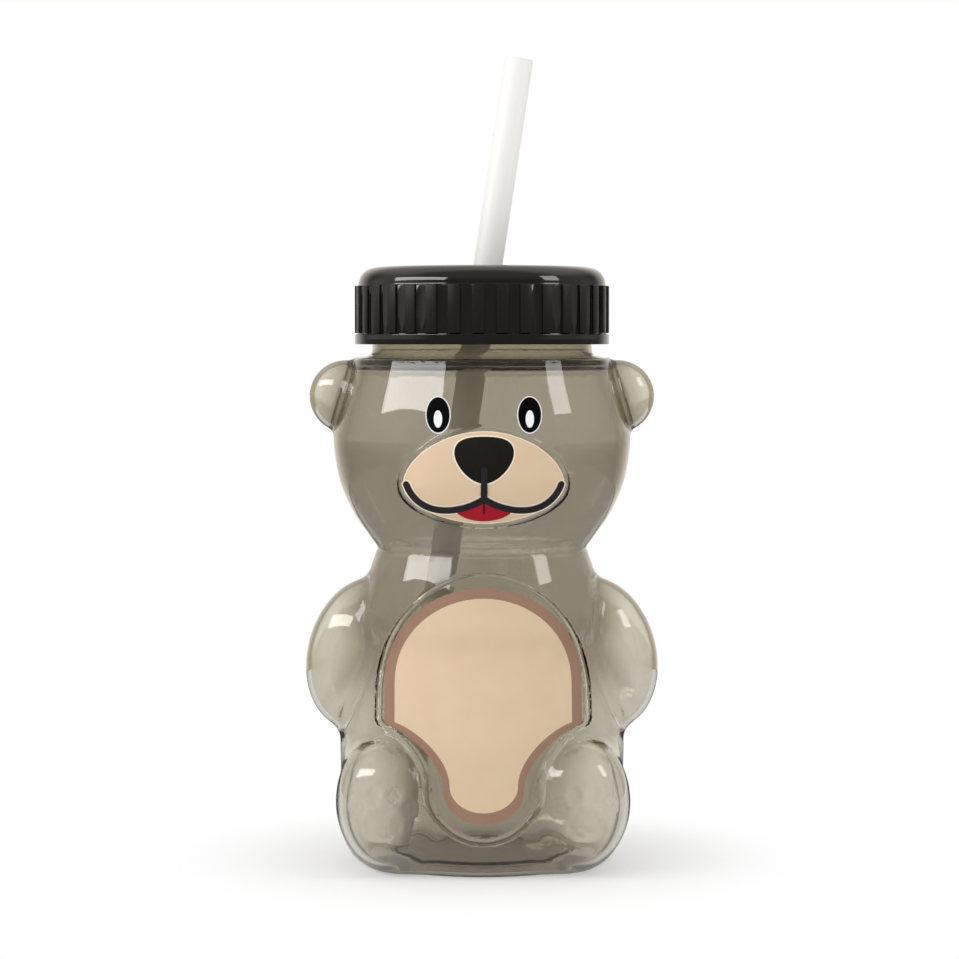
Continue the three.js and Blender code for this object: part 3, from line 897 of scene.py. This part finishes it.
def cut_grid(bm):
    """Cut all faces along an even grid, so that they can bend with the bottle."""
    xs = [v.co.x for v in bm.verts]
    zs = [v.co.z for v in bm.verts]
    for axis, low, high in ((Vector((1, 0, 0)), min(xs), max(xs)), (Vector((0, 0, 1)), min(zs), max(zs))):
        for offset in np.arange(low + PRINT_GRID / 2, high, PRINT_GRID):
            everything = [*bm.verts, *bm.edges, *bm.faces]
            bmesh.ops.bisect_plane(bm, geom=everything, dist=1e-4, plane_co=axis * offset, plane_no=axis)


def printed(outlines, layer):
    """A layer of ink with the given outlines: a second outline is a hole in the first."""
    bm = bmesh.new()
    edges = [e for outline in outlines for e in add_loop(bm, outline)]
    bmesh.ops.triangle_fill(bm, edges=edges, use_beauty=True, normal=(0, -1, 0))
    cut_grid(bm)
    for face in bm.faces:
        face.normal_update()
        if face.normal.y > 0:
            face.normal_flip()
    lift = FIRST_LIFT + layer * LAYER_STEP
    for vert in bm.verts:
        hit, normal, _, _ = skin_tree.ray_cast(vert.co, (0, 1, 0))
        vert.co = hit + normal * (lift + PRINT_THICKNESS)
    bmesh.ops.solidify(bm, geom=bm.faces[:], thickness=PRINT_THICKNESS)
    return bm


border = printed([BORDER_OUTLINE, PATCH_OUTLINE], 0)
add_piece("belly_border_print", border, [brown_ink], "bottle", ["belly_border"])
patch = printed([PATCH_OUTLINE], 0)
add_piece("belly_patch_print", patch, [tan_ink], "bottle", ["belly_patch"])

# %% [markdown]
# ## The face
# The printer lays down cream first, a hair larger than the tan muzzle and the black lines over it, so
# that every shape has a thin pale edge. Eyes have the same edge in white. The nose, the smile and the
# tongue come last. The smile is one line of even width, with round ends, through a peak under the nose.

# %% Face outlines
EYE = {"centre": (10.9, 111.9), "half": (2.75, 4.2)}
GLINT = {"centre": (10.9, 110.9), "half": (1.0, 2.05)}
CREAM_EDGE = 0.38
MUZZLE_RIM = 0.22
EYE_EDGE = 0.26
TONGUE_EDGE = 0.16
TONGUE_LINE = [(0, 91.2), (0, 89.9), (0, 88.6)]
TONGUE_LINE_WIDTH = 0.4
SMILE_WIDTH = 1.55
NOSE_LINE_TOP_Z = 99.0


def grown(outline, distance):
    """An outline moved outwards by a distance."""
    points = np.array(outline)
    along = np.roll(points, -1, axis=0) - points
    normals = np.column_stack([-along[:, 1], along[:, 0]]) / np.linalg.norm(along, axis=1)[:, None]
    before = np.roll(normals, 1, axis=0)
    mitres = (normals + before) / (1 + np.sum(normals * before, axis=1))[:, None]
    return [tuple(p) for p in points + distance * mitres]


def stroke(path, width):
    """The outline of a line of even width with round ends."""
    points = np.array(path)
    along = np.gradient(points, axis=0)
    along /= np.linalg.norm(along, axis=1)[:, None]
    across = np.column_stack([-along[:, 1], along[:, 0]]) * width / 2
    start = math.degrees(math.atan2(*across[0][::-1]))
    end = math.degrees(math.atan2(*across[-1][::-1]))
    round_end = arc(points[-1], (width / 2, width / 2), end, end - 180, 8)
    round_start = arc(points[0], (width / 2, width / 2), start - 180, start - 360, 8)
    left = [tuple(p) for p in points + across]
    right = [tuple(p) for p in points - across]
    return without_repeats([*left[1:-1], *round_end, *right[-2:0:-1], *round_start])


def oval(shape, side, grow=0.0):
    """An upright ellipse on one side of the face, going clockwise."""
    (x, z), (half_x, half_z) = shape["centre"], shape["half"]
    return arc((side * x, z), (half_x + grow, half_z + grow), 360, 8, 44)


half_smile = curve((0, 92.2), (4.0, 89.2), (14.9, 86.4), (18.35, 95.3), 24)
smile = [(-x, z) for x, z in half_smile[:0:-1]] + half_smile
nose = mirrored(curve((0, 106.75), (4.2, 106.75), (7, 106), (7, 103))
                + curve((7, 103), (7, 100), (3.2, 95.75), (0, 95.75)))
tongue = mirrored([*half_smile[:9], *curve((6.1, 88.6), (4.4, 87.3), (2, 86.8), (0, 86.8))])
nose_line = [(0, z) for z in np.linspace(NOSE_LINE_TOP_Z, 92.0, 8)]
print("smile", len(smile), "points, nose", len(nose), "points")

# %% Face prints
muzzle = printed([MUZZLE_OUTLINE], 1)
edge = printed([grown(MUZZLE_OUTLINE, MUZZLE_RIM)], 0)
for outline in (grown(nose, CREAM_EDGE), stroke(smile, SMILE_WIDTH + 2 * CREAM_EDGE)):
    edge = joined(edge, printed([outline], 2))
add_piece("face_cream_edges", edge, [cream_ink], "bottle", [])
add_piece("muzzle_print", muzzle, [tan_ink], "bottle", ["muzzle_patch"])
add_piece("nose_print", printed([nose], 3), [nose_ink], "bottle", ["nose"])
lines = joined(printed([stroke(smile, SMILE_WIDTH)], 5), printed([stroke(nose_line, SMILE_WIDTH)], 6))
add_piece("mouth_print", lines, [line_ink], "bottle", ["mouth"])
add_piece("tongue_print", printed([tongue], 4), [red_ink], "bottle", ["tongue"])
crease = printed([stroke(TONGUE_LINE, TONGUE_LINE_WIDTH)], 5)
rims = joined(printed([grown(tongue, TONGUE_EDGE)], 3), crease)
add_piece("tongue_outline_print", rims, [outline_ink], "bottle", [])
for name, side in (("right", -1), ("left", 1)):
    rim = printed([oval(EYE, side, EYE_EDGE)], 0)
    add_piece(f"eye_edge_print_{name}", rim, [white_ink], "bottle", [])
    eye = printed([oval(EYE, side)], 1)
    add_piece(f"eye_print_{name}", eye, [eye_ink], "bottle", [f"eye_{name}"])
    glint = printed([oval(GLINT, side)], 2)
    add_piece(f"eye_glint_print_{name}", glint, [white_ink], "bottle", [f"eye_glint_{name}"])

# %% [markdown]
# ## The screw cap
# The cap is moulded in black polypropylene: a skirt with upright ribs for the fingers, a plain band
# below them and a polished, gently crowned top with a hole for the straw. Its wall is turned from one
# closed profile. The turning has four columns of faces for each rib, so two of every four are extruded
# outwards, which keeps the ribs part of the same skin, and all hard edges get a small bevel.

# %% Turn the cap and raise its ribs
CAP_BORE_RADIUS = 28.5
CAP_RADIUS = 31.75
VALLEY_RADIUS = 31.05
CAP_BOTTOM_Z = 128.7
BAND_TOP_Z = 131.2
RIB_BOTTOM_Z = 131.5
RIB_TOP_Z = 143.2
CEILING_Z = 146.2
STRAW_HOLE_RADIUS = 5.75
RIB_COUNT = 34
RIB_TURN = math.radians(2.9)
CAP_BEVEL = 0.16
HARD_EDGE = math.radians(28)

dome = curve((30.9, RIB_TOP_Z), (30.75, 145.9), (29.2, 147.85), (25.6, 147.9))
crown = [(STRAW_HOLE_RADIUS, 148.0)]
skirt = [
    (CAP_BORE_RADIUS, CAP_BOTTOM_Z), (CAP_RADIUS, CAP_BOTTOM_Z), (CAP_RADIUS, BAND_TOP_Z),
    (VALLEY_RADIUS, BAND_TOP_Z), (VALLEY_RADIUS, RIB_BOTTOM_Z), (VALLEY_RADIUS, RIB_TOP_Z)]
ceiling = [(STRAW_HOLE_RADIUS, CEILING_Z), (CAP_BORE_RADIUS, CEILING_Z)]
cap_profile = without_repeats([*skirt, *dome, *crown, *ceiling])
cap = turned_form([*cap_profile, cap_profile[0]], 4 * RIB_COUNT)


def on_rib(face):
    """Whether a face of the skirt belongs to a rib: two columns of every four do."""
    middle = face.calc_center_median()
    height_fits = RIB_BOTTOM_Z < middle.z < RIB_TOP_Z
    outside = middle.xy.length > (CAP_BORE_RADIUS + VALLEY_RADIUS) / 2
    column = math.atan2(middle.y, middle.x) / (2 * math.pi) * RIB_COUNT
    return height_fits and outside and (column + 0.25) % 1 < 0.5


rib_faces = [f for f in cap.faces if on_rib(f)]
raised = bmesh.ops.extrude_face_region(cap, geom=rib_faces)
bmesh.ops.delete(cap, geom=rib_faces, context="FACES")
rib_verts = [v for v in raised["geom"] if isinstance(v, bmesh.types.BMVert)]
grow = CAP_RADIUS / VALLEY_RADIUS
bmesh.ops.scale(cap, vec=(grow, grow, 1), verts=rib_verts)
hard = [e for e in cap.edges if e.calc_face_angle(0) > HARD_EDGE]
bmesh.ops.bevel(cap, geom=hard, offset=CAP_BEVEL, segments=2, profile=0.5, affect="EDGES", material=-1)
bmesh.ops.rotate(cap, verts=cap.verts, cent=(0, 0, 0), matrix=Matrix.Rotation(RIB_TURN, 3, "Z"))
print("cap:", len(cap.faces), "faces,", sum(not e.is_manifold for e in cap.edges), "open edges")

# %% [markdown]
# ## The cap's thread
# A thread is a small profile that turns and climbs at once. Spin does both, with a step upwards for
# each step round. The ridge lies half a pitch under the neck's own, and a boolean joins it to the cap,
# so that the cap stays one closed skin.

# %% Cap thread
THREAD_STEPS = 90
CAP_THREAD_RADIUS = 27.75
THREAD_ROOT_RADIUS = 28.9
THREAD_ROOT_HALF = 1.0
THREAD_CREST_HALF = 0.4

thread = bmesh.new()
low_z = THREAD_START_Z + THREAD_PITCH / 2
section = [
    (THREAD_ROOT_RADIUS, -THREAD_ROOT_HALF), (CAP_THREAD_RADIUS, -THREAD_CREST_HALF),
    (CAP_THREAD_RADIUS, THREAD_CREST_HALF), (THREAD_ROOT_RADIUS, THREAD_ROOT_HALF)]
start = thread.faces.new([thread.verts.new((radius, 0, low_z + z)) for radius, z in section])
climb = (0, 0, THREAD_PITCH * THREAD_TURNS / THREAD_STEPS)
bmesh.ops.spin(thread, geom=[*start.verts, *start.edges, start], axis=(0, 0, 1), cent=(0, 0, 0), dvec=climb,
               angle=2 * math.pi * THREAD_TURNS, steps=THREAD_STEPS)
bmesh.ops.recalc_face_normals(thread, faces=thread.faces)


def united(first, second):
    """Boolean union of two closed bmeshes."""
    pair = []
    for bm in (first, second):
        mesh = bpy.data.meshes.new("closed_form")
        bm.to_mesh(mesh)
        bm.free()
        pair.append(bpy.data.objects.new("closed_form", mesh))
        scene.collection.objects.link(pair[-1])
    union = pair[0].modifiers.new("union", "BOOLEAN")
    union.operation = "UNION"
    union.solver = "EXACT"
    union.object = pair[1]
    mesh = bpy.data.meshes.new_from_object(pair[0].evaluated_get(bpy.context.evaluated_depsgraph_get()))
    result = bmesh.new()
    result.from_mesh(mesh)
    for form in pair:
        bpy.data.objects.remove(form)
    return result


cap = united(cap, thread)
for face in cap.faces:
    middle = face.calc_center_median()
    stands_out = middle.xy.length > (VALLEY_RADIUS + CAP_RADIUS) / 2
    face.material_index = int(stands_out and RIB_BOTTOM_Z < middle.z < RIB_TOP_Z)
print("cap:", len(cap.faces), "faces,", sum(not e.is_manifold for e in cap.edges), "open edges")

# %% [markdown]
# ## Black polypropylene, polished and spark-eroded
# The mould's top is polished, so the cap's top is glossy with faint flow marks. The ribs are cut in the
# mould by sparks, which leaves a fine even grain: it spreads highlights and makes the ribs look greyer
# than the polished valleys between them. The real grain is about a tenth of a millimetre, too fine for
# the picture, so it is drawn at half a millimetre.

# %% Black plastics
SPARK_GRAIN = 0.5
FLOW_MARK = 7.0


def black_plastic(name, hex_colour, bloom_colour, grain, height, low, high, gloss):
    """Moulded black plastic: colour and bloom, size and height of its grain, roughness and gloss."""
    material, tree = new_material(name)
    place = add_node(tree, "ShaderNodeTexCoord").outputs["Object"]
    flow = add_node(tree, "ShaderNodeTexNoise", {
        "Vector": place, "Scale": 1 / (FLOW_MARK * MM), "Detail": 3.0}).outputs["Fac"]
    colour = blended(tree, flow, linear(hex_colour), linear(bloom_colour))
    rough = add_node(tree, "ShaderNodeMapRange", {
        "Value": flow, "To Min": low, "To Max": high}).outputs["Result"]
    pits = add_node(tree, "ShaderNodeTexNoise", {
        "Vector": place, "Scale": 1 / (grain * MM), "Detail": 2.0}).outputs["Fac"]
    bump = add_node(tree, "ShaderNodeBump", {
        "Height": pits, "Strength": 1.0, "Distance": height * MM}).outputs["Normal"]
    plastic = add_node(tree, "ShaderNodeBsdfPrincipled", {
        "Base Color": colour, "Roughness": rough, "Normal": bump, "IOR": 1.49, "Specular IOR Level": gloss})
    add_node(tree, "ShaderNodeOutputMaterial", {"Surface": plastic.outputs["BSDF"]})
    return material


polished_black = black_plastic(
    "black_polypropylene_polished", "#0F0F0F", "#131313", FLOW_MARK, 0.01, 0.05, 0.09, 0.8)
grained_black = black_plastic(
    "black_polypropylene_spark_eroded", "#151515", "#1A1A1A", SPARK_GRAIN, 0.05, 0.36, 0.46, 0.5)
add_piece("ribbed_cap", cap, [polished_black, grained_black], "cap", ["screw_cap"])

# %% [markdown]
# ## Sealing ring and straw
# The sealing ring is a soft silicone washer that the cap hides. The straw is an extruded tube of white
# polypropylene with cut ends. Both are closed profiles turned round an axis. The straw is turned upright
# and then laid on the slant at which it leans in the cap's hole. Extruding leaves faint lines along a
# tube, so its noise is stretched along the straw.

# %% Turn the ring and the straw
SEAL_BEVEL = 0.18
STRAW_BEVEL = 0.12
SEAL_PROFILE = [(25.6, 144.9), (28, 144.9), (28, 145.9), (25.6, 145.9)]
STRAW_RADIUS = 3.6
STRAW_BORE_RADIUS = 2.8
STRAW_FOOT = Vector((-20.5, 0, 2.6))
STRAW_TOP = Vector((9.2, 0, 199.7))


def turned_ring(profile, steps, bevel):
    """Turn a closed profile round the Z axis and bevel its hard edges."""
    bm = turned_form([*profile, profile[0]], steps)
    hard = [e for e in bm.edges if e.calc_face_angle(0) > HARD_EDGE]
    bmesh.ops.bevel(bm, geom=hard, offset=bevel, segments=2, profile=0.5, affect="EDGES", material=-1)
    return bm


seal = turned_ring(SEAL_PROFILE, 96, SEAL_BEVEL)
straw_axis = STRAW_TOP - STRAW_FOOT
straw_lean = math.atan2(straw_axis.x, straw_axis.z)
length = straw_axis.length
tube = [(STRAW_BORE_RADIUS, 0), (STRAW_RADIUS, 0), (STRAW_RADIUS, length), (STRAW_BORE_RADIUS, length)]
straw = turned_ring(tube, 48, STRAW_BEVEL)
slant = Matrix.Translation(STRAW_FOOT) @ Matrix.Rotation(straw_lean, 4, "Y")
bmesh.ops.transform(straw, matrix=slant, verts=straw.verts)
print("straw", round(length, 1), "mm long, leaning", round(math.degrees(straw_lean), 2), "degrees")

# %% Silicone and white polypropylene
SILICONE_BLOOM = 2.0
EXTRUSION_LINE = 0.5
LINE_STRETCH = 0.02

silicone, tree = new_material("silicone_moulded")
place = add_node(tree, "ShaderNodeTexCoord").outputs["Object"]
bloom = add_node(tree, "ShaderNodeTexNoise", {
    "Vector": place, "Scale": 1 / (SILICONE_BLOOM * MM), "Detail": 3.0}).outputs["Fac"]
colour = blended(tree, bloom, linear("#DCDAD4"), linear("#CFCDC6"))
rough = add_node(tree, "ShaderNodeMapRange", {
    "Value": bloom, "To Min": 0.5, "To Max": 0.7}).outputs["Result"]
rubber = add_node(tree, "ShaderNodeBsdfPrincipled", {
    "Base Color": colour, "Roughness": rough, "IOR": 1.41, "Subsurface Weight": 0.15,
    "Subsurface Radius": (0.001, 0.001, 0.001)})
add_node(tree, "ShaderNodeOutputMaterial", {"Surface": rubber.outputs["BSDF"]})

white_tube, tree = new_material("white_polypropylene_extruded")
place = add_node(tree, "ShaderNodeTexCoord").outputs["Object"]
upright = add_node(tree, "ShaderNodeMapping", {
    "Vector": place, "Rotation": (0, -straw_lean, 0)}).outputs["Vector"]
along = add_node(tree, "ShaderNodeMapping", {
    "Vector": upright, "Scale": (1, 1, LINE_STRETCH)}).outputs["Vector"]
lines = add_node(tree, "ShaderNodeTexNoise", {
    "Vector": along, "Scale": 1 / (EXTRUSION_LINE * MM), "Detail": 2.0}).outputs["Fac"]
colour = blended(tree, lines, linear("#F7F6F4"), linear("#F1F0EC"))
bump = add_node(tree, "ShaderNodeBump", {
    "Height": lines, "Strength": 0.5, "Distance": 0.02 * MM}).outputs["Normal"]
waxy = add_node(tree, "ShaderNodeBsdfPrincipled", {
    "Base Color": colour, "Normal": bump, "Roughness": 0.38, "IOR": 1.49})
add_node(tree, "ShaderNodeOutputMaterial", {"Surface": waxy.outputs["BSDF"]})

add_piece("sealing_ring", seal, [silicone], "seal", ["cap_seal"])
add_piece("drinking_straw", straw, [white_tube], "straw", ["straw"])
